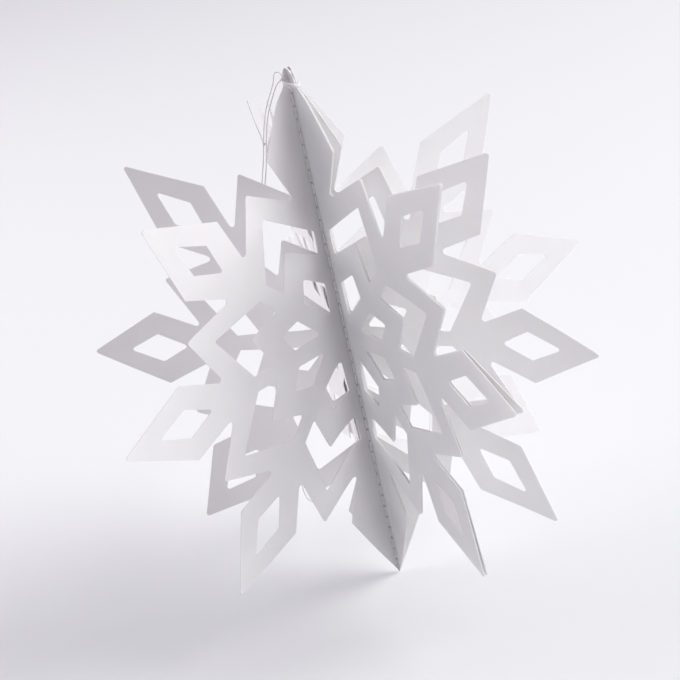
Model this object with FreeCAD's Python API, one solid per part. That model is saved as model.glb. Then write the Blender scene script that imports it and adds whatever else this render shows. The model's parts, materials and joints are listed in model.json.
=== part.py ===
"""Paper snowflake star: four die-cut card sheets sewn down the middle and fanned out.

Millimetres.  +Z runs up the seam, -Y is the front of the sewn stack and +X its right side.
The origin is the thread tie round the gathered top points, where the star hangs.
Each sheet is a narrow seam strip with one half-sheet (leaf) hinged at each edge of it.
"""
import FreeCAD, Part
import math
import os

Vector = FreeCAD.Vector

# ---- driving dimensions -------------------------------------------------------------
STAR_RADIUS = 100.0          # seam to the point of every diamond
CARD = 0.30                  # card thickness
SHEET_PITCH = 0.34           # distance between the sewn sheets, middle to middle
TIE_BELOW_TOP = 5.0          # the tie sits this far below the top point
SPOKE_STEP = 45.0            # eight spokes to a full turn
HALF_STEP = SPOKE_STEP / 2   # the chevrons point half-way between two spokes

# Cut-out pattern.  A pair is (along its spoke, across its spoke); a single number is a
# distance from the centre, along a spoke or along the line half-way between two spokes.
DIAMOND_SIDE = (72.0, 14.3)
DIAMOND_NOTCH = (53.7, 6.5)
CHEVRON_POINT = 70.0
DIAMOND_HOLE_OUTER = 85.0
DIAMOND_HOLE_SIDE = (72.5, 5.5)
DIAMOND_HOLE_INNER = 61.3
RING_HOLE_POINT = 58.4
RING_HOLE_OUTER_END = (41.5, 2.9)
RING_HOLE_INNER_END = (32.2, 3.2)
RING_HOLE_INNER_POINT = 42.1
KITE_HOLE_OUTER = 28.3
KITE_HOLE_SIDE = (21.5, 3.2)
KITE_HOLE_INNER = 9.4

# Rounding left by the cutting die.
TIP_ROUND = 0.9
NOTCH_ROUND = 1.2
HOLE_ROUND = 0.8

# Seam.
STRIP_HALF = 1.20            # half width of a seam strip whose leaf folds innermost
FOLD_STAGGER = 0.35          # each sheet wrapped round another folds this much further out
FOLD_GAP = 0.20              # from the fold line to the start of the leaf
THREAD = 0.45                # thread diameter
STITCH = 4.65                # stitch length
STITCH_COUNT = 40
FIRST_HOLE = -3.0            # height of the top stitch hole
STITCH_DIP = 0.12            # how much lower a stitch lies at its ends than in its middle
ARC_SHARE = 0.45             # share of a run of loose thread that its rounded corner takes up

# Tie and knots.
TIE_RADIUS = 3.35            # middle of the thread round the gathered top points
TIE_TURNS = 3
TURN_SPACING = 0.42
TIE_KNOT_RADIUS = 1.0
TIE_KNOT_OFFSET = (-3.1, 1.5)     # X and Z of the knot, above the tie on its left
LOOSE_KNOT_RADIUS = 0.65
THREAD_PLANE = 0.65          # Y of the hanging thread, just behind the second sheet

# Uncut waste still held in one diamond.
KERF = 0.12                  # width of the die's cut round it
NICK = 0.6                   # width of the bridge left across the cut, one on each side
NICK_REACH = 1.1             # length of the bar each bridge is cut from

# Hanging thread: a doubled loop, as (X, Z) from the tie knot down and back up to it.
THREAD_ROUTE = [
    (-2.9, 1.7), (-2.9, 3.42), (-3.78, 4.3), (-5.02, 4.3), (-5.9, 3.42), (-6.4, 1.4),
    (-7.6, -1.1), (-9.8, -4.9), (-12.3, -9.8), (-14.6, -16.5), (-16.7, -26.0),
    (-19.8, -42.0), (-23.4, -64.0), (-27.0, -90.0), (-30.2, -118.0), (-32.4, -142.0),
    (-33.3, -155.5), (-33.1, -162.4), (-31.8, -165.7), (-29.4, -165.9), (-28.1, -163.2),
    (-27.9, -157.4), (-29.1, -144.0), (-28.8, -124.0), (-26.7, -98.0), (-23.5, -72.0),
    (-19.9, -49.0), (-16.8, -31.0), (-14.2, -19.0), (-11.9, -11.6), (-9.2, -6.2),
    (-7.1, -2.5), (-5.3, 0.4), (-3.6, 1.3),
]
# Loose end that sticks up from a knot on the outer strand, as (X, Y, Z).
LOOSE_END_ROUTE = [
    (-15.6, 0.65, -21.2), (-16.5, 1.0, -17.0), (-17.8, 1.25, -11.2), (-18.5, 1.35, -5.2),
]

RIGHT = 1
LEFT = -1
# Sheet name, then for the right and left leaf: how many folds it wraps round, and the
# angle it stands forward of the flat stack at rest (degrees, negative to the back).
SHEETS = [
    ("front", (0, 34.4), (0, 64.0)),
    ("second", (1, 33.2), (1, 7.0)),
    ("third", (2, 6.7), (1, -52.5)),
    ("back", (0, -48.0), (0, -55.0)),
]

CENTRE_Z = TIE_BELOW_TOP - STAR_RADIUS


# ---- small helpers ------------------------------------------------------------------
def spoke_point(spoke, along, across=0.0):
    """(distance from the seam, height above the centre) of a point given on a spoke."""
    angle = math.radians(spoke)
    out = along * math.sin(angle) + across * math.cos(angle)
    up = along * math.cos(angle) - across * math.sin(angle)
    return (out, up)


def rounded_face(corners):
    """Planar face in XZ from (x, z, radius) corners, each rounded by its own radius."""
    count = len(corners)
    starts = []
    ends = []
    middles = []
    for index in range(count):
        x, z, radius = corners[index]
        before = corners[index - 1]
        after = corners[(index + 1) % count]
        corner = Vector(x, 0, z)
        back = Vector(before[0] - x, 0, before[1] - z).normalize()
        ahead = Vector(after[0] - x, 0, after[1] - z).normalize()
        half = back.getAngle(ahead) / 2
        reach = radius / math.tan(half) if radius else 0.0
        starts.append(corner + back * reach)
        ends.append(corner + ahead * reach)
        bisector = (back + ahead).normalize()
        middles.append(corner + bisector * (radius / math.sin(half) - radius))
    edges = []
    for index in range(count):
        following = (index + 1) % count
        if corners[index][2]:
            edges.append(Part.Arc(starts[index], middles[index], ends[index]).toShape())
        edges.append(Part.LineSegment(ends[index], starts[following]).toShape())
    return Part.Face(Part.Wire(edges))


def mirrored(points, side, radius):
    """(out, up) points as rounded corners on the right or left of the seam."""
    return [(side * out, CENTRE_Z + up, radius) for out, up in points]


def sheet_height(out):
    """Height above the centre of the outline's top edge, close to the seam."""
    along, across = DIAMOND_SIDE
    return STAR_RADIUS - out * (STAR_RADIUS - along) / across


def plate(face, sheet_y):
    """Card-thick solid of a face, centred on the sheet's own plane."""
    solid = face.extrude(Vector(0, CARD, 0))
    solid.translate(Vector(0, sheet_y - CARD / 2, 0))
    return solid


# ---- the cut-out pattern ------------------------------------------------------------
def leaf_outline(side, start):
    """Half-sheet outline from the fold outward, top to bottom, as rounded corners."""
    along, across = DIAMOND_SIDE
    notch, notch_across = DIAMOND_NOTCH
    corners = [(side * start, CENTRE_Z + sheet_height(start), 0)]
    corners += mirrored([spoke_point(0, along, across)], side, TIP_ROUND)
    corners += mirrored([spoke_point(0, notch, notch_across)], side, NOTCH_ROUND)
    corners += mirrored([spoke_point(HALF_STEP, CHEVRON_POINT)], side, TIP_ROUND)
    for number in (1, 2, 3):
        spoke = number * SPOKE_STEP
        corners += mirrored([spoke_point(spoke, notch, -notch_across)], side, NOTCH_ROUND)
        points = [
            spoke_point(spoke, along, -across),
            spoke_point(spoke, STAR_RADIUS),
            spoke_point(spoke, along, across),
        ]
        corners += mirrored(points, side, TIP_ROUND)
        corners += mirrored([spoke_point(spoke, notch, notch_across)], side, NOTCH_ROUND)
        point = spoke_point(spoke + HALF_STEP, CHEVRON_POINT)
        corners += mirrored([point], side, TIP_ROUND)
    corners += mirrored([spoke_point(180, notch, -notch_across)], side, NOTCH_ROUND)
    corners += mirrored([spoke_point(180, along, -across)], side, TIP_ROUND)
    corners.append((side * start, CENTRE_Z - sheet_height(start), 0))
    return corners


def diamond_hole(spoke):
    """Diamond window in the end of a spoke."""
    along, across = DIAMOND_HOLE_SIDE
    return [
        spoke_point(spoke, DIAMOND_HOLE_OUTER),
        spoke_point(spoke, along, across),
        spoke_point(spoke, DIAMOND_HOLE_INNER),
        spoke_point(spoke, along, -across),
    ]


def ring_hole(spoke):
    """Chevron-shaped window between a spoke and the next one."""
    following = spoke + SPOKE_STEP
    middle = spoke + HALF_STEP
    outer, outer_across = RING_HOLE_OUTER_END
    inner, inner_across = RING_HOLE_INNER_END
    return [
        spoke_point(spoke, outer, outer_across),
        spoke_point(middle, RING_HOLE_POINT),
        spoke_point(following, outer, -outer_across),
        spoke_point(following, inner, -inner_across),
        spoke_point(middle, RING_HOLE_INNER_POINT),
        spoke_point(spoke, inner, inner_across),
    ]


def kite_hole(spoke):
    """Kite-shaped window near the hub, between a spoke and the next one."""
    following = spoke + SPOKE_STEP
    middle = spoke + HALF_STEP
    along, across = KITE_HOLE_SIDE
    return [
        spoke_point(spoke, along, across),
        spoke_point(middle, KITE_HOLE_OUTER),
        spoke_point(following, along, -across),
        spoke_point(middle, KITE_HOLE_INNER),
    ]


def leaf_face(side, start):
    """Half-sheet with all its windows, lying flat."""
    windows = []
    for number in (1, 2, 3):
        windows.append(diamond_hole(number * SPOKE_STEP))
    for number in (0, 1, 2, 3):
        windows.append(ring_hole(number * SPOKE_STEP))
        windows.append(kite_hole(number * SPOKE_STEP))
    holes = [rounded_face(mirrored(points, side, HOLE_ROUND)) for points in windows]
    return rounded_face(leaf_outline(side, start)).cut(Part.makeCompound(holes)).Faces[0]


# ---- sheets -------------------------------------------------------------------------
def sheet_plane(index):
    """Y of a sheet's middle plane, the front sheet being index 0."""
    return (index - (len(SHEETS) - 1) / 2) * SHEET_PITCH


def fold_line(wraps):
    """Distance of a fold line from the middle of the seam."""
    return STRIP_HALF + wraps * FOLD_STAGGER


def folded(solid, side, wraps, sheet_y, forward):
    """A leaf's solid turned about its fold line by its angle forward of flat."""
    turned = solid.copy()
    hinge = Vector(side * fold_line(wraps), sheet_y, 0)
    turned.rotate(hinge, Vector(0, 0, 1), -side * forward)
    return turned


def leaf(side, wraps, sheet_y, forward):
    """One half-sheet, standing at its rest angle."""
    flat = plate(leaf_face(side, fold_line(wraps) + FOLD_GAP), sheet_y)
    return folded(flat, side, wraps, sheet_y, forward)


def stitch_heights():
    """Heights of all the needle holes, top to bottom."""
    return [FIRST_HOLE - number * STITCH for number in range(STITCH_COUNT + 1)]


def needle_hole(height, front, back):
    """Round rod along Y, as thick as the thread."""
    return Part.makeCylinder(THREAD / 2, back - front, Vector(0, front, height), Vector(0, 1, 0))


def seam_strip(right, left, sheet_y):
    """Middle strip of a sheet, between its two fold lines, with the needle holes."""
    corners = [
        (0, CENTRE_Z + STAR_RADIUS, 0),
        (right, CENTRE_Z + sheet_height(right), 0),
        (right, CENTRE_Z - sheet_height(right), 0),
        (0, CENTRE_Z - STAR_RADIUS, 0),
        (-left, CENTRE_Z - sheet_height(left), 0),
        (-left, CENTRE_Z + sheet_height(left), 0),
    ]
    strip = plate(rounded_face(corners), sheet_y)
    heights = stitch_heights() + [0.0]
    rods = [needle_hole(height, sheet_y - CARD, sheet_y + CARD) for height in heights]
    return strip.cut(Part.makeCompound(rods))


def waste_diamond(spoke, side, wraps, sheet_y, forward):
    """Die-cut piece that is still in its window, held by a nick on each side."""
    window = plate(rounded_face(mirrored(diamond_hole(spoke), side, HOLE_ROUND)), sheet_y)
    centre = spoke_point(spoke, DIAMOND_HOLE_SIDE[0])
    outline = diamond_hole(spoke)
    middle = Vector(side * centre[0], sheet_y, CENTRE_Z + centre[1])
    slope = math.atan2(DIAMOND_HOLE_SIDE[1], DIAMOND_HOLE_OUTER - DIAMOND_HOLE_SIDE[0])
    inset = 1 - KERF / (DIAMOND_HOLE_SIDE[1] * math.cos(slope))
    smaller = []
    for out, up in outline:
        smaller.append((centre[0] + (out - centre[0]) * inset, centre[1] + (up - centre[1]) * inset))
    piece = plate(rounded_face(mirrored(smaller, side, HOLE_ROUND)), sheet_y)
    for index in range(len(outline)):
        first = outline[index]
        second = outline[(index + 1) % len(outline)]
        out = (first[0] + second[0]) / 2
        up = (first[1] + second[1]) / 2
        nick_middle = Vector(side * out, sheet_y, CENTRE_Z + up)
        corner = Vector(-NICK / 2, -CARD / 2, -NICK_REACH / 2)
        nick = Part.makeBox(NICK, CARD, NICK_REACH, corner)
        direction = nick_middle - middle
        turn = math.degrees(math.atan2(direction.x, direction.z))
        nick.rotate(Vector(0, 0, 0), Vector(0, 1, 0), turn)
        nick.translate(nick_middle)
        piece = piece.fuse(nick.common(window))
    return folded(piece.removeSplitter(), side, wraps, sheet_y, forward)


# ---- thread -------------------------------------------------------------------------
def seam_thread(face_y, middle_y, outward):
    """Thread on one face of the stack: a stitch between holes, and a leg down each hole."""
    heights = stitch_heights()
    pieces = []
    for upper, lower in zip(heights[:-1], heights[1:]):
        rise = THREAD * outward
        points = [
            Vector(0, face_y, upper),
            Vector(0, face_y + rise - STITCH_DIP * outward, upper),
            Vector(0, face_y + rise, (upper + lower) / 2),
            Vector(0, face_y + rise - STITCH_DIP * outward, lower),
            Vector(0, face_y, lower),
        ]
        edges = [
            Part.LineSegment(points[0], points[1]).toShape(),
            Part.Arc(points[1], points[2], points[3]).toShape(),
            Part.LineSegment(points[3], points[4]).toShape(),
            Part.LineSegment(points[4], points[0]).toShape(),
        ]
        bar = Part.Face(Part.Wire(edges)).extrude(Vector(THREAD, 0, 0))
        bar.translate(Vector(-THREAD / 2, 0, 0))
        pieces.append(bar)
    front = min(face_y, middle_y)
    back = max(face_y, middle_y)
    for height in heights:
        pieces.append(needle_hole(height, front, back))
    for height in (heights[0], heights[-1]):
        pieces.append(needle_hole(height, min(face_y, face_y + THREAD * outward / 2),
                                  max(face_y, face_y + THREAD * outward / 2)))
    return pieces[0].fuse(pieces[1:]).removeSplitter()


def tube(points, name):
    """Round tube along straight runs joined by the largest tangent arcs that fit."""
    edges = []
    start = points[0]
    length = 0.0
    smallest = None
    for index in range(1, len(points) - 1):
        corner = points[index]
        back = points[index - 1] - corner
        ahead = points[index + 1] - corner
        reach = ARC_SHARE * min(back.Length, ahead.Length)
        turn = math.pi - back.getAngle(ahead)
        radius = reach / math.tan(turn / 2)
        smallest = radius if smallest is None else min(smallest, radius)
        back.normalize()
        ahead.normalize()
        arc_start = corner + back * reach
        arc_end = corner + ahead * reach
        bisector = (back + ahead).normalize()
        arc_middle = corner + bisector * (radius / math.cos(turn / 2) - radius)
        edges.append(Part.LineSegment(start, arc_start).toShape())
        edges.append(Part.Arc(arc_start, arc_middle, arc_end).toShape())
        length += (arc_start - start).Length + radius * turn
        start = arc_end
    edges.append(Part.LineSegment(start, points[-1]).toShape())
    length += (points[-1] - start).Length
    path = Part.Wire(edges)
    direction = (points[1] - points[0]).normalize()
    circle = Part.Circle(points[0], direction, THREAD / 2)
    section = Part.Wire(circle.toShape())
    solid = path.makePipeShell([section], True, False)
    expected = length * math.pi * THREAD ** 2 / 4
    print("%s: length %.1f, smallest radius %.2f" % (name, length, smallest))
    print("%s: volume %.3f, section times length %.3f" % (name, solid.Volume, expected))
    return solid


def tie_winding():
    """Turns of thread round the top points, and the stitch that pins them to the seam."""
    turns = []
    for number in range(TIE_TURNS):
        height = (number - (TIE_TURNS - 1) / 2) * TURN_SPACING
        turns.append(Part.makeTorus(TIE_RADIUS, THREAD / 2, Vector(0, 0, height)))
    pin_back = sheet_plane(len(SHEETS) - 1) + CARD / 2
    pin = needle_hole(0.0, -TIE_RADIUS, pin_back)
    return turns[0].fuse(turns[1:] + [pin])


# ---- assembly -----------------------------------------------------------------------
def largest(shape):
    """Largest solid of a shape, leaving slivers out."""
    return max(shape.Solids, key=lambda solid: solid.Volume)


def build():
    """Every node of the star, by name."""
    nodes = {}
    for index, (name, right, left) in enumerate(SHEETS):
        sheet_y = sheet_plane(index)
        nodes[name + "_seam_strip"] = seam_strip(fold_line(right[0]), fold_line(left[0]), sheet_y)
        nodes[name + "_right_leaf"] = leaf(RIGHT, right[0], sheet_y, right[1])
        nodes[name + "_left_leaf"] = leaf(LEFT, left[0], sheet_y, left[1])
    front_name, front_right, front_left = SHEETS[0]
    nodes["waste_diamond"] = waste_diamond(
        3 * SPOKE_STEP, RIGHT, front_right[0], sheet_plane(0), front_right[1])

    front_face = sheet_plane(0) - CARD / 2
    back_face = sheet_plane(len(SHEETS) - 1) + CARD / 2
    nodes["needle_thread"] = seam_thread(front_face, 0.0, -1)
    nodes["bobbin_thread"] = seam_thread(back_face, 0.0, 1)

    nodes["tie_winding"] = tie_winding()
    thread_points = [Vector(x, THREAD_PLANE, z) for x, z in THREAD_ROUTE]
    nodes["hanging_thread"] = tube(thread_points, "hanging_thread")
    knot_centre = Vector(TIE_KNOT_OFFSET[0], THREAD_PLANE, TIE_KNOT_OFFSET[1])
    knot = Part.makeSphere(TIE_KNOT_RADIUS, knot_centre)
    nodes["tie_knot"] = largest(knot.cut([nodes["tie_winding"], nodes["hanging_thread"]]))

    loose_points = [Vector(*point) for point in LOOSE_END_ROUTE]
    loose_end = tube(loose_points, "loose_end")
    loose_knot = Part.makeSphere(LOOSE_KNOT_RADIUS, loose_points[0])
    nodes["loose_end_knot"] = largest(loose_knot.fuse(loose_end).cut(nodes["hanging_thread"]))
    return nodes


os.makedirs("parts", exist_ok=True)
for node, shape in build().items():
    if not shape.isValid():
        print("not valid:", node)
    if len(shape.Solids) != 1:
        print("solids in", node, len(shape.Solids))
    shape.exportStep("parts/" + node + ".step")
    print("%-20s %9.3f mm3" % (node, shape.Volume))
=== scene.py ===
"""Looks of the paper snowflake star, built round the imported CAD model.

Metres, in the row frame: +Z up the seam, -Y to the front of the stack, +X to its right.
Each half-sheet is cut from its CAD leaf's own outline, carried on to the middle of the
seam, bent over its fold, curled a little, and given the card's thickness.
"""
import json
import math

import bpy
import numpy as np
from mathutils import Matrix, Vector
from mathutils.geometry import delaunay_2d_cdt


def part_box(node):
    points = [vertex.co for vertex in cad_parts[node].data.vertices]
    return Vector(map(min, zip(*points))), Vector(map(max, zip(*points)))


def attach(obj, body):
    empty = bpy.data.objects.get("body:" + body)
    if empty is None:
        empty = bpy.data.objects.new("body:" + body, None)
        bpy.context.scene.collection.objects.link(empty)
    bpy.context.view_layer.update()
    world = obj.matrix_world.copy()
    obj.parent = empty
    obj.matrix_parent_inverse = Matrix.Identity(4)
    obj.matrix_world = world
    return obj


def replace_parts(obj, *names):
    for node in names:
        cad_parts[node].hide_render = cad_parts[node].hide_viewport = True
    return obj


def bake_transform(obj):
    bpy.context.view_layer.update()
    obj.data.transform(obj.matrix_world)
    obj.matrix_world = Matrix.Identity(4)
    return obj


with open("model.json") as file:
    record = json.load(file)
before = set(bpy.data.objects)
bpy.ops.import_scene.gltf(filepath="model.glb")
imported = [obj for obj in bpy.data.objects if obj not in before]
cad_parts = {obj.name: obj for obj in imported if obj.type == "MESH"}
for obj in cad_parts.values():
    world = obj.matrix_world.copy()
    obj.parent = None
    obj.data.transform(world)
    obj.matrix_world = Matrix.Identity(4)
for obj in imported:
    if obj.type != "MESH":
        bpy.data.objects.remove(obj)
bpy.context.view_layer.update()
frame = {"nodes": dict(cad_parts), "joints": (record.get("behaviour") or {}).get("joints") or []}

MM = 0.001
PER_METRE = 1000             # millimetres in a metre
RIGHT = 1
LEFT = -1

# ---- sizes read from the frame -------------------------------------------------------
JOINTS = {joint["child"]: joint for joint in frame["joints"]}
STRIP_LOW, STRIP_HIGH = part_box("front_seam_strip")
TOP = STRIP_HIGH[2]
BOTTOM = STRIP_LOW[2]
CENTRE = Vector((0, 0, (TOP + BOTTOM) / 2))
RADIUS = (TOP - BOTTOM) / 2
CARD = STRIP_HIGH[1] - STRIP_LOW[1]
FRONT_FACE = STRIP_LOW[1]
BACK_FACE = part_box("back_seam_strip")[1][1]

# ---- camera --------------------------------------------------------------------------
CAMERA_TURN = math.radians(28.0)       # round to the right of the stack's front
CAMERA_RISE = math.radians(24.45)
CAMERA_ROLL = math.radians(12.8)       # the star leans to the left in the picture
CAMERA_DISTANCE = 6.93 * RADIUS
CAMERA_LENS = 103.0                    # millimetres, for the sensor below
CAMERA_SENSOR = 36.0
CAMERA_CLIP = (0.02, 20.0)
CAMERA_RIGHT = 0.0257 * RADIUS         # how far the star's centre is right of the middle
CAMERA_UP = 0.0169 * RADIUS            # and how far above it

# ---- light ---------------------------------------------------------------------------
# Square lights: name, azimuth (round from the picture's right towards the camera) and
# rise in degrees, distance and size in metres, power and colour.
LIGHTS = [
    ("key", 5, 32, 2.2, 1.5, 47.0, (1.0, 1.0, 0.965)),
    ("top", -100, 66, 1.2, 0.8, 0.9, (0.985, 1.0, 1.0)),
    ("left", 205, 20, 1.2, 0.8, 6.0, (1.0, 0.95, 0.965)),
]
SURROUND_POWER = 0.63
SURROUND_TONE = (0.96, 0.89, 0.985)
DARK_TONE = (0.02, 0.0186, 0.02)       # of the side of the surround that the camera is on
DARK_AZIMUTH = 92
DARK_FADE = (0.5, 0.8)                 # how squarely a way faces it as it starts and ends
FLOOR_HALF = 3.0
FLOOR_DROP = 0.5 * MM                  # gap under the bottom point

# ---- looks ---------------------------------------------------------------------------
# Noise: scale, detail and roughness.  Bump: strength and distance.
TONE_FROM, TONE_TO = 0.3, 0.7          # stretch of a noise that goes from dark to light
MIX_FIRST, MIX_SECOND, MIX_RESULT = 6, 7, 2     # a mix node's sockets for colours
CARD_MOTTLE = (55.0, 4.0, 0.6)
CARD_TONES = ((0.80, 0.798, 0.806), (0.83, 0.828, 0.834))
# painted shade: the grey that the card is darkened towards in the fold and along the stitched
# line
CREASE_SHADE_TONE = (0.44, 0.42, 0.45)
CARD_CLOUD = (260.0, 3.0, 0.5)
CARD_CLOUD_BUMP = (0.12, 0.15 * MM)
CARD_FIBRE = (2600.0, 2.0, 0.7)
CARD_FIBRE_BUMP = (0.18, 0.03 * MM)
CARD_SHADER = {
    "Roughness": 0.5,
    "Specular IOR Level": 0.35,
    "Sheen Weight": 0.12,
    "Sheen Roughness": 0.4,
    "Sheen Tint": (0.95, 0.93, 1.0, 1),
    "Subsurface Weight": 0.62,
    "Subsurface Radius": (1.0, 0.95, 0.9),
    "Subsurface Scale": CARD * 2,
}
EDGE_FIBRE = (1800.0, 3.0, 0.7)
EDGE_TONES = ((0.68, 0.675, 0.67), (0.77, 0.77, 0.76))
EDGE_BUMP = (0.4, 0.05 * MM)
EDGE_SHADER = {
    "Roughness": 0.9,
    "Subsurface Weight": 0.15,
    "Subsurface Radius": (1.0, 0.95, 0.9),
    "Subsurface Scale": CARD * 2,
}
THREAD_FUZZ = (3500.0, 2.0, 0.6)
THREAD_TONES = ((0.80, 0.79, 0.79), (0.88, 0.875, 0.87))
THREAD_BUMP = (0.35, 0.04 * MM)
THREAD_SHADER = {"Roughness": 0.55, "Sheen Weight": 0.3}
FLOOR_SHADER = {"Base Color": (0.76, 0.785, 0.795, 1), "Roughness": 0.9}

# ---- how each half-sheet lies --------------------------------------------------------
# Sheet, side, how far from the fold its bow is widest, then forward offsets, all in
# millimetres: the bow itself, the curl of the outer points, the tilt of the whole leaf, the
# twist that carries the upper points forward and the lower ones back, and the bend of the
# outermost card alone.  Last, the length of card that flexes.
LEAVES = [
    ("front", RIGHT, 18, -1.0, 0.5, 0.0, -6.7, 0.0, 3.1),
    ("second", RIGHT, 18, -1.1, 0.5, 1.9, -6.5, -2.6, 2.7),
    ("third", RIGHT, 18, 0.0, 14.0, 0.0, 0.6, 0.0, 2.4),
    ("back", RIGHT, 18, -0.3, -9.5, 0.0, 5.4, 0.0, 3.1),
    ("front", LEFT, 10, -2.5, 2.2, 0.0, -0.8, 0.0, 20.0),
    ("second", LEFT, 18, 0.5, -1.2, 0.0, -4.1, 0.0, 3.0),
    ("third", LEFT, 18, 0.0, 0.8, 0.0, 0.8, 0.0, 3.0),
    ("back", LEFT, 18, 0.0, -0.8, 0.0, 0.6, 0.0, 3.0),
]
CURL_NULL = 0.6              # share of the radius where the curl crosses the flat leaf
TIP_START = 0.5              # share of the radius where the bend of the outer card begins
FOLD_HALF = 0.8 * MM         # half the length of card that bends at the fold
# painted shade in the fold: how far it reaches from the middle of the seam, and how strong it is
# on each side
CREASE_SHADE_REACH = {RIGHT: 0.9 * MM, LEFT: 6.0 * MM}
CREASE_SHADE_SHARE = {RIGHT: 0.15, LEFT: 0.48}
CREASE_SHADE_ENDS = 0.75           # how much weaker the painted crease shade is at the ends of the seam
SEAM_SHADOW_HALF = 0.45 * MM        # half the width of the painted shadow along the stitched line
SEAM_SHADOW_SHARE = 0.4
DIAMOND_PAINTED_SHADE = 0.1          # painted shade: how far the waste diamond is greyed to match its leaf

# ---- outlines and meshes of the card -------------------------------------------------
OUTER_FACE = 0.4             # share of the card's thickness past which only one face lies
INNER_EDGE = 0.05 * MM       # how near the leaf's inner edge a point counts as on it
# Where rows of points stand beside the seam, in millimetres from its middle.
SEAM_COLUMNS = [0.35, 0.7, 1.05, 1.4, 1.75, 2.1, 2.5, 3.0, 3.6, 4.4, 5.4, 6.6, 8.0, 9.8]
SEAM_ZONE = 10 * MM          # width beside the seam where the columns stand close
GRID = 2.6 * MM
EDGE_STEP = 2.6 * MM
CLEAR_OF_EDGE = 0.8 * MM
CLEAR_AT_SEAM = 0.25 * MM
SAME_PLACES = 6              # decimals of a metre to which corners of the plate agree
SAME_POINT = 1e-5            # millimetres

# ---- ends of the seam ----------------------------------------------------------------
# Half width, drop to the widest part and rise above the pattern's own point.
TOP_TIP = (1.75 * MM, 2.9 * MM, 1.0 * MM)
BOTTOM_TIP = (0.5 * MM, 0.9 * MM, -0.3 * MM)
TIP_STEPS = 7
GATHER = 0.42                # share of the card's width that the tie takes up
GATHER_REACH = 2.8 * MM
EAR_SPREAD = 0.35 * MM       # how far the tops of the front and back pairs lean apart
EAR_START = 0.6 * MM
EAR_LIMIT = 1.4              # share of the way up to the strips' top where it stops growing

# ---- thread --------------------------------------------------------------------------
THREAD_LOW, THREAD_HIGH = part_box("needle_thread")
THREAD = THREAD_HIGH[0] - THREAD_LOW[0]
THREAD_RADIUS = THREAD / 2
TIGHT_RADIUS = THREAD_RADIUS * 0.95    # where the thread is pulled tight round the tips
FINE_RADIUS = THREAD_RADIUS * 0.9      # at its free end and in the top stitch
SMALL_KNOT_RADIUS = THREAD_RADIUS * 0.85
TWIST = 1.3 * MM             # length in which the thread's plies go once round
PLIES = 3
PLY_DEPTH = 0.1              # half the depth of the grooves between plies, of the radius
THREAD_SIDES = 15
SPIN_START = (0.31, 0.95, 0.04)        # a direction that no thread starts along
GUIDE_STEPS = 12

# ---- seam ----------------------------------------------------------------------------
STITCH_TOP = THREAD_HIGH[2] - THREAD / 2
STITCH_BOTTOM = THREAD_LOW[2] + THREAD / 2
STITCH_COUNT = 40
STITCH = (STITCH_TOP - STITCH_BOTTOM) / STITCH_COUNT
NEEDLE_HOLE = 0.58 * MM      # radius
HOLE_STEPS = 6
STITCH_STEPS = 24
STITCH_DEPTH = 0.43 * MM     # how far a thread's middle goes below the card at each hole
STITCH_LIFT = THREAD * 0.42  # how far it stands above the card between the holes
STITCH_SWAY = 0.07 * MM      # how far a stitch may bow to either side
STITCH_HOLE = 0.04           # share of a stitch, at each end, that is down in the hole
STITCH_RISE = 0.11           # share of a stitch in which it comes up out of the hole

# ---- tie at the top points, in millimetres -------------------------------------------
TIE_RADIUS = 2.80
TIE_SWELL = ((0.10, 15.9), (0.05, 17.0))    # depths and rates of its uneven radius
TIE_TURNS = 3
TIE_SPACING = 0.40
TIE_HEIGHT = 0.35
TIE_SAG = (0.12, 0.7)        # depth, and where round the winding it starts, in radians
TIE_LEAN = 0.38              # how steeply the winding runs down to the picture's right
TIE_STEPS = 220
OVER_ROUTE = [
    (-2.9, 0.6, 1.6), (-2.4, 0.4, 3.0), (-1.7, 0.15, 4.2), (-0.6, 0.0, 4.75),
    (0.7, -0.05, 4.7), (1.8, -0.2, 3.9), (2.5, -0.6, 2.2), (2.65, -1.1, 0.5),
]
DOWN_ROUTE = [
    (0.5, -2.7, 0.1), (0.5, -2.3, -0.6), (0.45, -1.5, -1.2), (0.2, -0.95, -2.0),
    (0.0, -0.6, -3.0),
]
KNOT_STEPS = 72
KNOT_TILT = 1.1              # radians, as the turns below are
KNOT_HEIGHT = 1.4            # of a knot of size 1, to either side of its middle
TIE_KNOT = (-3.0, 0.6, 1.5)
TIE_KNOT_SIZE = 0.27
TIE_KNOT_TURN = 1.2
LOOSE_KNOT_SIZE = 0.16
LOOSE_KNOT_TURN = 0.4

# ---- hanging thread, in millimetres --------------------------------------------------
# The doubled thread: (X, Z) of its control points, down and up, in the plane Y =
# THREAD_PLANE.  The route of the part's source, but for its long middle stretch, which
# hangs up to 7 mm further out behind the left leaves.
THREAD_PLANE = 0.65
THREAD_ROUTE = [
    (-2.9, 1.7), (-2.9, 3.42), (-3.78, 4.3), (-5.02, 4.3), (-5.9, 3.42), (-6.4, 1.4),
    (-7.6, -1.1), (-9.8, -4.9), (-12.3, -9.8), (-14.6, -16.5), (-16.9, -26.0),
    (-21.9, -42.0), (-30.2, -64.0), (-33.6, -90.0), (-34.4, -118.0), (-34.2, -142.0),
    (-33.3, -155.5), (-33.1, -162.4), (-31.8, -165.7), (-29.4, -165.9), (-28.1, -163.2),
    (-27.9, -157.4), (-30.0, -144.0), (-31.4, -124.0), (-31.8, -98.0), (-30.0, -72.0),
    (-23.4, -49.0), (-17.0, -31.0), (-14.2, -19.0), (-11.9, -11.6), (-9.2, -6.2),
    (-7.1, -2.5), (-5.3, 0.4), (-3.6, 1.3),
]
LOOSE_END_ROUTE = [
    (-15.6, 0.65, -21.2), (-16.5, 1.0, -17.0), (-17.8, 1.25, -11.2), (-18.5, 1.35, -5.2),
]

rng = np.random.default_rng(7)


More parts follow.
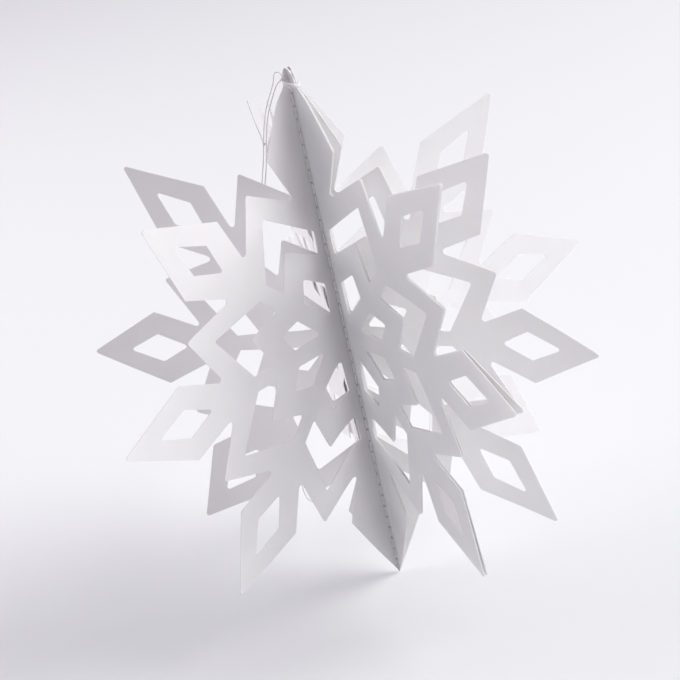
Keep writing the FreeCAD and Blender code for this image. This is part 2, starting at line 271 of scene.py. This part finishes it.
# ---- camera, floor and light ---------------------------------------------------------
def add_object(name, data):
    """New object in the scene that shows some data."""
    made = bpy.data.objects.new(name, data)
    bpy.context.collection.objects.link(made)
    return made


def add_camera():
    """Camera above and to the right of the front, rolled so that the star leans."""
    sin_turn, cos_turn = math.sin(CAMERA_TURN), math.cos(CAMERA_TURN)
    sin_rise, cos_rise = math.sin(CAMERA_RISE), math.cos(CAMERA_RISE)
    ahead = Vector((-cos_rise * sin_turn, cos_rise * cos_turn, -sin_rise))
    across = Vector((cos_turn, sin_turn, 0))
    above = across.cross(ahead)
    right = math.cos(CAMERA_ROLL) * across - math.sin(CAMERA_ROLL) * above
    up = math.sin(CAMERA_ROLL) * across + math.cos(CAMERA_ROLL) * above
    place = CENTRE - ahead * CAMERA_DISTANCE - right * CAMERA_RIGHT - up * CAMERA_UP
    data = bpy.data.cameras.new("camera")
    data.lens = CAMERA_LENS
    data.sensor_width = CAMERA_SENSOR
    data.clip_start, data.clip_end = CAMERA_CLIP
    camera = add_object("camera", data)
    turn = Matrix((right, up, -ahead)).transposed()
    camera.matrix_world = Matrix.Translation(place) @ turn.to_4x4()
    bpy.context.scene.camera = camera


def direction(azimuth, rise):
    """Unit vector from the star; azimuth runs from the picture's right towards the camera."""
    turn = math.radians(azimuth) - CAMERA_TURN
    lift = math.radians(rise)
    flat = math.cos(lift)
    return Vector((math.cos(turn) * flat, -math.sin(turn) * flat, math.sin(lift)))


def add_light(name, azimuth, rise, distance, size, power, colour):
    """Soft square light, aimed at the star."""
    data = bpy.data.lights.new(name, "AREA")
    data.shape = "SQUARE"
    data.size = size
    data.energy = power
    data.color = colour
    light = add_object(name, data)
    light.location = CENTRE + direction(azimuth, rise) * distance
    light.rotation_euler = (CENTRE - light.location).to_track_quat("-Z", "Y").to_euler()


def add_surround():
    """Even pale surround that is dark on the side that the camera is on."""
    world = bpy.data.worlds.new("surround")
    world.use_nodes = True
    nodes = world.node_tree.nodes
    links = world.node_tree.links
    facing = nodes.new("ShaderNodeVectorMath")
    facing.operation = "DOT_PRODUCT"
    facing.inputs[1].default_value = direction(DARK_AZIMUTH, 0)
    links.new(nodes.new("ShaderNodeTexCoord").outputs["Generated"], facing.inputs[0])
    tone = ramp(nodes, links, facing.outputs["Value"], *DARK_FADE, SURROUND_TONE, DARK_TONE)
    background = nodes["Background"]
    links.new(tone, background.inputs["Color"])
    background.inputs["Strength"].default_value = SURROUND_POWER
    bpy.context.scene.world = world


def add_floor():
    """Plain pale ground under the bottom point."""
    half = FLOOR_HALF
    corners = [(-half, -half), (half, -half), (half, half), (-half, half)]
    mesh = bpy.data.meshes.new("floor")
    mesh.from_pydata([(x, y, BOTTOM - FLOOR_DROP) for x, y in corners], [], [(0, 1, 2, 3)])
    mesh.materials.append(floor_material())
    add_object("floor", mesh)


# ---- materials -----------------------------------------------------------------------
def ramp(nodes, links, value, low, high, tone_low, tone_high):
    """Colour between two tones, as a value goes from low to high."""
    node = nodes.new("ShaderNodeValToRGB")
    ends = node.color_ramp.elements
    ends[0].position = low
    ends[0].color = (*tone_low, 1)
    ends[1].position = high
    ends[1].color = (*tone_high, 1)
    links.new(value, node.inputs["Fac"])
    return node.outputs["Color"]


class Look:
    """A node material with its Principled shader and a position vector."""

    def __init__(self, name, settings):
        self.material = bpy.data.materials.new(name)
        self.material.use_nodes = True
        self.nodes = self.material.node_tree.nodes
        self.links = self.material.node_tree.links
        self.shader = self.nodes["Principled BSDF"]
        self.place = self.nodes.new("ShaderNodeTexCoord").outputs["Object"]
        for socket, value in settings.items():
            self.shader.inputs[socket].default_value = value

    def noise(self, scale, detail, roughness):
        """Noise texture over the position."""
        texture = self.nodes.new("ShaderNodeTexNoise")
        texture.inputs["Scale"].default_value = scale
        texture.inputs["Detail"].default_value = detail
        texture.inputs["Roughness"].default_value = roughness
        self.links.new(self.place, texture.inputs["Vector"])
        return texture.outputs["Fac"]

    def tone(self, noise, tones):
        """Colour that a noise takes from the first of two tones to the second."""
        return ramp(self.nodes, self.links, noise, TONE_FROM, TONE_TO, *tones)

    def greyed(self, colour, attribute, tone):
        """A colour multiplied by a tone, by as much as a mesh attribute says."""
        share = self.nodes.new("ShaderNodeAttribute")
        share.attribute_name = attribute
        mix = self.nodes.new("ShaderNodeMix")
        mix.data_type = "RGBA"
        mix.blend_type = "MULTIPLY"
        self.links.new(share.outputs["Fac"], mix.inputs["Factor"])
        self.links.new(colour, mix.inputs[MIX_FIRST])
        mix.inputs[MIX_SECOND].default_value = (*tone, 1)
        return mix.outputs[MIX_RESULT]

    def bump(self, height, strength, distance, below=None):
        """Bump node from a height, laid over another bump if there is one."""
        node = self.nodes.new("ShaderNodeBump")
        node.inputs["Strength"].default_value = strength
        node.inputs["Distance"].default_value = distance
        self.links.new(height, node.inputs["Height"])
        if below is not None:
            self.links.new(below, node.inputs["Normal"])
        return node.outputs["Normal"]

    def finished(self, colour, normal):
        """The material, with a colour and a normal laid on its shader."""
        self.links.new(colour, self.shader.inputs["Base Color"])
        self.links.new(normal, self.shader.inputs["Normal"])
        return self.material


def card_material():
    """Smooth white card with a faint pearl sheen, fine fibre, soft mottle and painted shade in
    the fold.
    """
    look = Look("card", CARD_SHADER)
    tone = look.tone(look.noise(*CARD_MOTTLE), CARD_TONES)
    soft = look.bump(look.noise(*CARD_CLOUD), *CARD_CLOUD_BUMP)
    fine = look.bump(look.noise(*CARD_FIBRE), *CARD_FIBRE_BUMP, soft)
    # painted shade: the card is darkened towards a grey in the fold, along the stitched line and
    # over the waste diamond
    return look.finished(look.greyed(tone, "painted_shade", CREASE_SHADE_TONE), fine)


def edge_material():
    """Cut edge of the card: the bare, rougher fibre of its core."""
    look = Look("card_edge", EDGE_SHADER)
    fibre = look.noise(*EDGE_FIBRE)
    return look.finished(look.tone(fibre, EDGE_TONES), look.bump(fibre, *EDGE_BUMP))


def thread_material():
    """White polyester sewing thread with a soft lustre."""
    look = Look("thread", THREAD_SHADER)
    fuzz = look.noise(*THREAD_FUZZ)
    return look.finished(look.tone(fuzz, THREAD_TONES), look.bump(fuzz, *THREAD_BUMP))


def floor_material():
    """Matt pale ground."""
    return Look("floor", FLOOR_SHADER).material


# ---- outlines from the CAD leaves ----------------------------------------------------
class Fold:
    """Where a leaf hinges and which way it stands, read from its joint and its CAD plate."""

    def __init__(self, body, node, side):
        hinge = JOINTS[body]["pos_m"]
        self.side = side
        self.out = abs(hinge[0])
        self.y = hinge[1]
        self.hinge = np.array([hinge[0], hinge[1], 0.0])
        points = np.array([v.co for v in frame["nodes"][node].data.vertices])
        run = points.mean(axis=0)[:2] - self.hinge[:2]
        run /= np.linalg.norm(run)
        self.ahead = np.array([run[0], run[1], 0.0])
        self.forward = math.atan2(-run[1], side * run[0])


def flat_face(node, fold):
    """Flat (distance from seam, height) points of a CAD plate, and one face's triangles."""
    mesh = frame["nodes"][node].data
    points = np.array([v.co for v in mesh.vertices]) - fold.hinge
    flat = np.stack([points @ fold.ahead + fold.out, points[:, 2]], axis=1)
    depth = points @ np.cross(fold.ahead, (0, 0, 1))
    mesh.calc_loop_triangles()
    triangles = [tuple(t.vertices) for t in mesh.loop_triangles]
    return flat, [t for t in triangles if all(depth[i] > CARD * OUTER_FACE for i in t)]


def boundary_loops(flat, triangles):
    """Closed loops of (distance, height) points round a set of triangles, tallest first."""
    numbers = {}
    index = []
    for point in flat:
        place = (round(point[0], SAME_PLACES), round(point[1], SAME_PLACES))
        index.append(numbers.setdefault(place, len(numbers)))
    places = list(numbers)
    used = {}
    for triangle in triangles:
        a, b, c = (index[i] for i in triangle)
        for edge in ((a, b), (b, c), (c, a)):
            used[frozenset(edge)] = used.get(frozenset(edge), 0) + 1
    neighbours = {}
    for edge, count in used.items():
        if count == 1 and len(edge) == 2:
            a, b = edge
            neighbours.setdefault(a, []).append(b)
            neighbours.setdefault(b, []).append(a)
    loops = []
    left = set(neighbours)
    while left:
        start = min(left)
        loop = [start]
        left.discard(start)
        here = neighbours[start][0]
        while here != start:
            loop.append(here)
            left.discard(here)
            ahead = [i for i in neighbours[here] if i in left]
            here = ahead[0] if ahead else start
        loops.append([places[i] for i in loop])
    return sorted(loops, key=lambda loop: -np.ptp([p[1] for p in loop]))


def rounded_end(half_width, drop, rise, apex, sign):
    """Points of a rounded tip, from its side to the middle of the seam."""
    points = []
    for step in range(TIP_STEPS + 1):
        angle = math.pi / 2 * step / TIP_STEPS
        height = apex - sign * drop + sign * (drop + rise) * math.sin(angle)
        points.append((half_width * math.cos(angle), height))
    points[-1] = (0.0, points[-1][1])
    return points


def needle_edge(downward):
    """Points down (or up) the middle of the seam, with a half-round hole at each stitch."""
    points = []
    for number in range(STITCH_COUNT + 1):
        height = STITCH_TOP - number * STITCH
        for step in range(HOLE_STEPS + 1):
            angle = math.pi * step / HOLE_STEPS
            points.append((NEEDLE_HOLE * math.sin(angle), height + NEEDLE_HOLE * math.cos(angle)))
    return points if downward else points[::-1]


def to_seam(loop):
    """The outer loop carried from the leaf's inner edge to the middle of the seam."""
    start = min(point[0] for point in loop)
    ends = [i for i, point in enumerate(loop) if point[0] < start + INNER_EDGE]
    first, second = ends[0], ends[-1]
    if second - first == 1:
        loop = loop[second:] + loop[:second]
    outline = loop[1:-1]
    top = rounded_end(*TOP_TIP, TOP, 1)
    bottom = rounded_end(*BOTTOM_TIP, BOTTOM, -1)
    if outline[0][1] > CENTRE.z:
        return top[::-1] + outline + bottom + needle_edge(False)
    return bottom[::-1] + outline + top + needle_edge(True)


def divided(loop):
    """A loop with its long edges divided."""
    points = []
    for here, ahead in zip(loop, loop[1:] + loop[:1]):
        count = max(1, math.ceil(math.dist(here, ahead) / EDGE_STEP))
        for part in range(count):
            share = part / count
            points.append((here[0] + (ahead[0] - here[0]) * share,
                           here[1] + (ahead[1] - here[1]) * share))
    return points


def inside(points, loops):
    """Which points lie inside the first loop and outside the others, which are holes."""
    result = np.zeros(len(points), bool)
    x, y = points[:, 0], points[:, 1]
    for loop in loops:
        for (x1, y1), (x2, y2) in zip(loop, loop[1:] + loop[:1]):
            if y1 == y2:
                continue
            crosses = (y1 > y) != (y2 > y)
            result ^= crosses & (x < (x2 - x1) * (y - y1) / (y2 - y1) + x1)
    return result


def distance_to(points, loops):
    """Distance from each point to the nearest edge of any loop."""
    best = np.full(len(points), math.inf)
    for loop in loops:
        for start, end in zip(loop, loop[1:] + loop[:1]):
            a = np.array(start)
            d = np.array(end) - a
            t = np.clip(((points - a) @ d) / (d @ d), 0, 1)
            best = np.minimum(best, np.linalg.norm(points - a - t[:, None] * d, axis=1))
    return best


def interior_points(loops, columns):
    """Grid points inside the outline, clear of every edge."""
    outer = np.array(loops[0])
    low, high = outer.min(axis=0), outer.max(axis=0)
    wide = np.arange((columns[-1] if columns else low[0]) + GRID, high[0], GRID)
    outs = np.concatenate([np.array(columns), wide])
    heights = np.arange(low[1] + GRID / 2, high[1], GRID)
    grid = np.array([(out, height) for out in outs for height in heights])
    grid = grid[inside(grid, loops)]
    clear = np.where(grid[:, 0] < SEAM_ZONE, CLEAR_AT_SEAM, CLEAR_OF_EDGE)
    return grid[distance_to(grid, loops) > clear]


def triangulated(loops, columns):
    """Flat points and triangles of a shape with holes."""
    points = []
    edges = []
    for loop in loops:
        first = len(points)
        points += loop
        edges += [(first + i, first + (i + 1) % len(loop)) for i in range(len(loop))]
    points += [tuple(p) for p in interior_points(loops, columns)]
    scaled = [Vector((x * PER_METRE, y * PER_METRE)) for x, y in points]
    result = delaunay_2d_cdt(scaled, edges, [], 0, SAME_POINT)
    flat = np.array([(v.x / PER_METRE, v.y / PER_METRE) for v in result[0]])
    faces = np.array(result[2])
    faces = faces[inside(flat[faces].mean(axis=1), loops)]
    a, b, c = flat[faces[:, 0]], flat[faces[:, 1]], flat[faces[:, 2]]
    turn = (b[:, 0] - a[:, 0]) * (c[:, 1] - a[:, 1]) - (b[:, 1] - a[:, 1]) * (c[:, 0] - a[:, 0])
    faces[turn < 0] = faces[turn < 0][:, ::-1]
    return flat, faces


# ---- bending the flat sheets ---------------------------------------------------------
def gathered(flat, fold):
    """Flat points with the card outside the fold narrowed where the tie grips it."""
    grip = GATHER * np.exp(-((flat[:, 1] / GATHER_REACH) ** 2))
    past = np.maximum(flat[:, 0] - fold.out, 0)
    return np.stack([flat[:, 0] - past * grip, flat[:, 1]], axis=1)


def parted(points, front):
    """Points above the tie moved aside, the front pair of sheets from the back pair."""
    share = np.clip((points[:, 2] - EAR_START) / (TOP - EAR_START), 0, EAR_LIMIT)
    aside = np.array(direction(180 if front else 0, 0)) * EAR_SPREAD
    return points + (share ** 2)[:, None] * aside


def bent(flat, fold, reach, bow, curl, tilt, twist, tip):
    """Middle surface of a half-sheet: flat in the seam, bent at the fold, then curled."""
    out, height = flat[:, 0], flat[:, 1]
    angle = fold.forward
    start = fold.out - FOLD_HALF
    turn = np.clip((out - start) / (2 * FOLD_HALF), 0, 1) * angle
    arc = 2 * FOLD_HALF / angle
    beyond = np.maximum(out - fold.out - FOLD_HALF, 0)
    along = np.minimum(out, start) + arc * np.sin(turn) + beyond * math.cos(angle)
    forward = arc * (1 - np.cos(turn)) + beyond * math.sin(angle)
    past = np.maximum(out - fold.out, 0)
    share = past / RADIUS
    rise = (height - CENTRE.z) / RADIUS
    bow_part = past / (reach * MM) * np.exp(1 - past / (reach * MM))
    curl_part = share * share - CURL_NULL * share
    tip_part = (np.maximum(share - TIP_START, 0) / (1 - TIP_START)) ** 2
    curved = bow * bow_part + curl * curl_part + tip * tip_part
    offset = (curved + (tilt + twist * 2 * rise) * share) * MM
    along = along - offset * math.sin(angle)
    forward = forward + offset * math.cos(angle)
    return np.stack([fold.side * along, fold.y - forward, height], axis=1)


def painted_crease_shade(flat, side):
    """How far each point is greyed by painted shade in the fold and a painted shadow along the
    stitched line, from 0 to 1.
    """
    out, height = flat[:, 0], flat[:, 1]
    rise = (height - height.mean()) / np.ptp(height) * 2
    # painted shade in the fold, fading away from the seam
    painted_shade = CREASE_SHADE_SHARE[side] * np.exp(-((out / CREASE_SHADE_REACH[side]) ** 2))
    painted_shade *= 1 - CREASE_SHADE_ENDS * np.clip(rise, -1, 1) ** 2
    # plus a narrow painted shadow along the middle of the seam
    return painted_shade + SEAM_SHADOW_SHARE * np.exp(-((out / SEAM_SHADOW_HALF) ** 2))


def vertex_normals(points, faces):
    """Area-weighted normals of a triangle mesh."""
    a, b, c = points[faces[:, 0]], points[faces[:, 1]], points[faces[:, 2]]
    face_normals = np.cross(b - a, c - a)
    normals = np.zeros_like(points)
    for corner in range(3):
        np.add.at(normals, faces[:, corner], face_normals)
    return normals / np.linalg.norm(normals, axis=1)[:, None]


def smoothed(mesh):
    """A mesh with every face shaded smooth."""
    for polygon in mesh.polygons:
        polygon.use_smooth = True
    return mesh


def card_mesh(name, middle, faces, painted_shade):
    """Closed mesh of a sheet: both faces and the cut edge all round, with crisp borders.

    The painted shade, from 0 to 1 for each point, greys the card a little in the fold, along the
    stitched line and over the waste diamond.
    """
    half = vertex_normals(middle, faces) * CARD / 2
    count = len(middle)
    points = np.concatenate([middle + half, middle - half])
    edges = [edge for a, b, c in faces.tolist() for edge in ((a, b), (b, c), (c, a))]
    used = set(edges)
    rim = [edge for edge in edges if (edge[1], edge[0]) not in used]
    polygons = [tuple(f) for f in faces.tolist()]
    polygons += [(c + count, b + count, a + count) for a, b, c in faces.tolist()]
    polygons += [(b, a, a + count, b + count) for a, b in rim]
    mesh = bpy.data.meshes.new(name)
    mesh.from_pydata(points.tolist(), [], polygons)
    mesh.materials.append(CARD_MATERIAL)
    mesh.materials.append(EDGE_MATERIAL)
    for polygon in smoothed(mesh).polygons:
        polygon.material_index = 1 if polygon.index >= 2 * len(faces) else 0
    border = {frozenset(edge) for edge in rim}
    border |= {frozenset((a + count, b + count)) for a, b in rim}
    for edge in mesh.edges:
        if frozenset(edge.vertices) in border:
            edge.use_edge_sharp = True
    # painted shade for each point, on both faces, for the card material to read
    painted_shade_layer = mesh.attributes.new("painted_shade", "FLOAT", "POINT")
    painted_shade_layer.data.foreach_set("value", np.concatenate([painted_shade, painted_shade]))
    piece = add_object(name, mesh)
    return piece


def add_leaf(sheet, side, *shape, flex):
    """One half-sheet, from the middle of the seam to its points."""
    body = sheet + ("_right" if side == RIGHT else "_left")
    node = body + "_leaf"
    fold = Fold(body, node, side)
    loops = boundary_loops(*flat_face(node, fold))
    loops[0] = to_seam(loops[0])
    loops = [divided(loop) for loop in loops]
    points, faces = triangulated(loops, [value * MM for value in SEAM_COLUMNS])
    middle = bent(gathered(points, fold), fold, *shape)
    middle = parted(middle, sheet in ("front", "second"))
    if side == RIGHT:
        faces = faces[:, ::-1]
    piece = card_mesh(body + "_half", middle, faces, painted_crease_shade(points, side))
    nodes = [node]
    if side == RIGHT:
        nodes.append(sheet + "_seam_strip")
    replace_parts(piece, *nodes)
    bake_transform(piece)
    return fold


def add_waste_diamond(fold, *shape):
    """Die-cut diamond still held in the front sheet, following that leaf's curl."""
    loops = [divided(loop) for loop in boundary_loops(*flat_face("waste_diamond", fold))]
    points, faces = triangulated(loops, [])
    middle = bent(points, fold, *shape)
    # painted shade: the whole diamond is greyed evenly to the tone of its leaf
    even_shade = np.full(len(middle), DIAMOND_PAINTED_SHADE)
    piece = card_mesh("waste_diamond_card", middle, faces[:, ::-1], even_shade)
    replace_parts(piece, "waste_diamond")
    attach(piece, "front_right")


# ---- thread --------------------------------------------------------------------------
def spun_mesh(name, path, radius):
    """Three-ply thread swept along a path of points."""
    path = np.array(path, float)
    count = len(path)
    tangents = np.gradient(path, axis=0)
    tangents /= np.linalg.norm(tangents, axis=1)[:, None]
    side = np.cross(tangents[0], SPIN_START)
    side /= np.linalg.norm(side)
    length = 0.0
    vertices = []
    for index in range(count):
        tangent = tangents[index]
        side = side - tangent * (side @ tangent)
        side /= np.linalg.norm(side)
        other = np.cross(tangent, side)
        if index:
            length += float(np.linalg.norm(path[index] - path[index - 1]))
        turn = 2 * math.pi * length / TWIST
        for corner in range(THREAD_SIDES):
            angle = 2 * math.pi * corner / THREAD_SIDES
            reach = radius * (1 - PLY_DEPTH + PLY_DEPTH * math.cos(PLIES * (angle - turn)))
            aside = math.cos(angle) * side + math.sin(angle) * other
            vertices.append(path[index] + reach * aside)
    faces = []
    for index in range(count - 1):
        for corner in range(THREAD_SIDES):
            a = index * THREAD_SIDES + corner
            b = index * THREAD_SIDES + (corner + 1) % THREAD_SIDES
            faces.append((a, b, b + THREAD_SIDES, a + THREAD_SIDES))
    faces.append(tuple(range(THREAD_SIDES))[::-1])
    faces.append(tuple((count - 1) * THREAD_SIDES + i for i in range(THREAD_SIDES)))
    return thread_mesh(name, vertices, faces)


def thread_mesh(name, vertices, faces):
    """Smooth mesh in the thread's material."""
    mesh = bpy.data.meshes.new(name)
    mesh.from_pydata([tuple(v) for v in vertices], [], faces)
    mesh.materials.append(THREAD_MATERIAL)
    return smoothed(mesh)


def joined(name, meshes):
    """One mesh from several, all of thread."""
    vertices = []
    faces = []
    for mesh in meshes:
        first = len(vertices)
        vertices += [tuple(v.co) for v in mesh.vertices]
        faces += [tuple(first + i for i in polygon.vertices) for polygon in mesh.polygons]
        bpy.data.meshes.remove(mesh)
    return thread_mesh(name, vertices, faces)


def add_thread(name, mesh):
    """A piece of thread, which rides on the seam."""
    piece = add_object(name, mesh)
    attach(piece, "seam")
    return piece


def smooth_line(name, points):
    """Points along a NURBS curve through its control points."""
    curve = bpy.data.curves.new(name, "CURVE")
    curve.dimensions = "3D"
    curve.resolution_u = GUIDE_STEPS
    spline = curve.splines.new("NURBS")
    spline.points.add(len(points) - 1)
    for index, point in enumerate(points):
        spline.points[index].co = (*point, 1)
    spline.order_u = 3
    spline.use_endpoint_u = True
    guide = add_object(name, curve)
    mesh = bpy.data.meshes.new_from_object(guide)
    line = [tuple(v.co) for v in mesh.vertices]
    bpy.data.objects.remove(guide)
    bpy.data.curves.remove(curve)
    bpy.data.meshes.remove(mesh)
    return line


def in_metres(points):
    """Points given in millimetres, as vectors in metres."""
    return [Vector(point) * MM for point in points]


def overhand(centre, size, turn):
    """Closed line of a small overhand knot."""
    spin = Matrix.Rotation(turn, 3, "Z") @ Matrix.Rotation(KNOT_TILT, 3, "X")
    points = []
    for step in range(KNOT_STEPS + 1):
        angle = 2 * math.pi * step / KNOT_STEPS
        x = math.sin(angle) + 2 * math.sin(2 * angle)
        y = math.cos(angle) - 2 * math.cos(2 * angle)
        z = -KNOT_HEIGHT * math.sin(3 * angle)
        points.append(centre + spin @ Vector((x, y, z)) * size * MM)
    return points


def stitch_path(face, outward):
    """Line of one seam thread: over the card from hole to hole, dipping into each."""
    points = []
    for number in range(STITCH_COUNT):
        top = STITCH_TOP - number * STITCH
        sway = rng.uniform(-STITCH_SWAY, STITCH_SWAY)
        for step in range(STITCH_STEPS):
            share = step / STITCH_STEPS
            near = min(share, 1 - share)
            rise = min(1.0, max(0.0, near - STITCH_HOLE) / STITCH_RISE)
            rise = rise * rise * (3 - 2 * rise)
            y = face + outward * (STITCH_LIFT * rise - STITCH_DEPTH * (1 - rise))
            height = top - share * STITCH
            points.append((sway * math.sin(math.pi * share), y, height))
    points.append((0, face - outward * STITCH_DEPTH, STITCH_BOTTOM))
    return points


def add_seam_threads():
    """Needle and bobbin threads of the lockstitch."""
    for name, node, face, outward in (
        ("needle_stitches", "needle_thread", FRONT_FACE, -1),
        ("bobbin_stitches", "bobbin_thread", BACK_FACE, 1),
    ):
        mesh = spun_mesh(name, stitch_path(face, outward), THREAD_RADIUS)
        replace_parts(add_thread(name, mesh), node)


def add_loose_end():
    """Stiff end of thread standing up from a small knot on the outer strand."""
    route = in_metres(LOOSE_END_ROUTE)
    end = spun_mesh("loose_end", smooth_line("loose_guide", route), FINE_RADIUS)
    turns = overhand(route[0], LOOSE_KNOT_SIZE, LOOSE_KNOT_TURN)
    knot = spun_mesh("loose_knot", turns, SMALL_KNOT_RADIUS)
    piece = add_thread("loose_end", joined("loose_end_mesh", [end, knot]))
    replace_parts(piece, "loose_end_knot")
    return piece


def add_hanging_thread():
    """Doubled thread that the star hangs from, let down beside it."""
    route = [(x * MM, THREAD_PLANE * MM, z * MM) for x, z in THREAD_ROUTE]
    line = smooth_line("thread_guide", route)
    piece = add_thread("hanging_loop", spun_mesh("hanging_loop", line, THREAD_RADIUS))
    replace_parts(piece, "hanging_thread")
    add_loose_end()


def winding_path():
    """Line of the uneven, slanted winding round the gathered points."""
    sag, sag_start = TIE_SAG
    points = []
    for step in range(TIE_STEPS + 1):
        share = step / TIE_STEPS
        angle = math.pi * (1 - 2 * TIE_TURNS * share)
        radius = TIE_RADIUS + sum(depth * math.sin(rate * share) for depth, rate in TIE_SWELL)
        height = TIE_HEIGHT + TIE_SPACING * (share - 0.5) * TIE_TURNS
        height += sag * math.sin(angle + sag_start)
        across = Vector((math.cos(angle), math.sin(angle), 0)).dot(direction(0, 0))
        height -= TIE_LEAN * radius * across
        points.append((radius * math.cos(angle) * MM, radius * math.sin(angle) * MM, height * MM))
    return points


def add_tie():
    """Winding round the gathered points, a strand over their tops, a stitch and the knot."""
    winding = spun_mesh("winding", winding_path(), TIGHT_RADIUS)
    over = smooth_line("over_guide", in_metres(OVER_ROUTE))
    strand = spun_mesh("strand", over, TIGHT_RADIUS)
    down = smooth_line("down_guide", in_metres(DOWN_ROUTE))
    stitch = spun_mesh("stitch", down, FINE_RADIUS)
    mesh = joined("tie_mesh", [winding, strand, stitch])
    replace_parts(add_thread("tie", mesh), "tie_winding")
    turns = overhand(Vector(TIE_KNOT) * MM, TIE_KNOT_SIZE, TIE_KNOT_TURN)
    knot = spun_mesh("knot", turns, TIGHT_RADIUS)
    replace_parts(add_thread("knot_of_tie", knot), "tie_knot")


CARD_MATERIAL = card_material()
EDGE_MATERIAL = edge_material()
THREAD_MATERIAL = thread_material()

add_camera()
for light_settings in LIGHTS:
    add_light(*light_settings)
add_surround()
add_floor()
add_hanging_thread()
for sheet_name, leaf_side, *leaf_shape, flex_mm in LEAVES:
    made = add_leaf(sheet_name, leaf_side, *leaf_shape, flex=flex_mm)
    if sheet_name == "front" and leaf_side == RIGHT:
        add_waste_diamond(made, *leaf_shape)
add_seam_threads()
add_tie()

bpy.context.scene.view_settings.view_transform = "Standard"
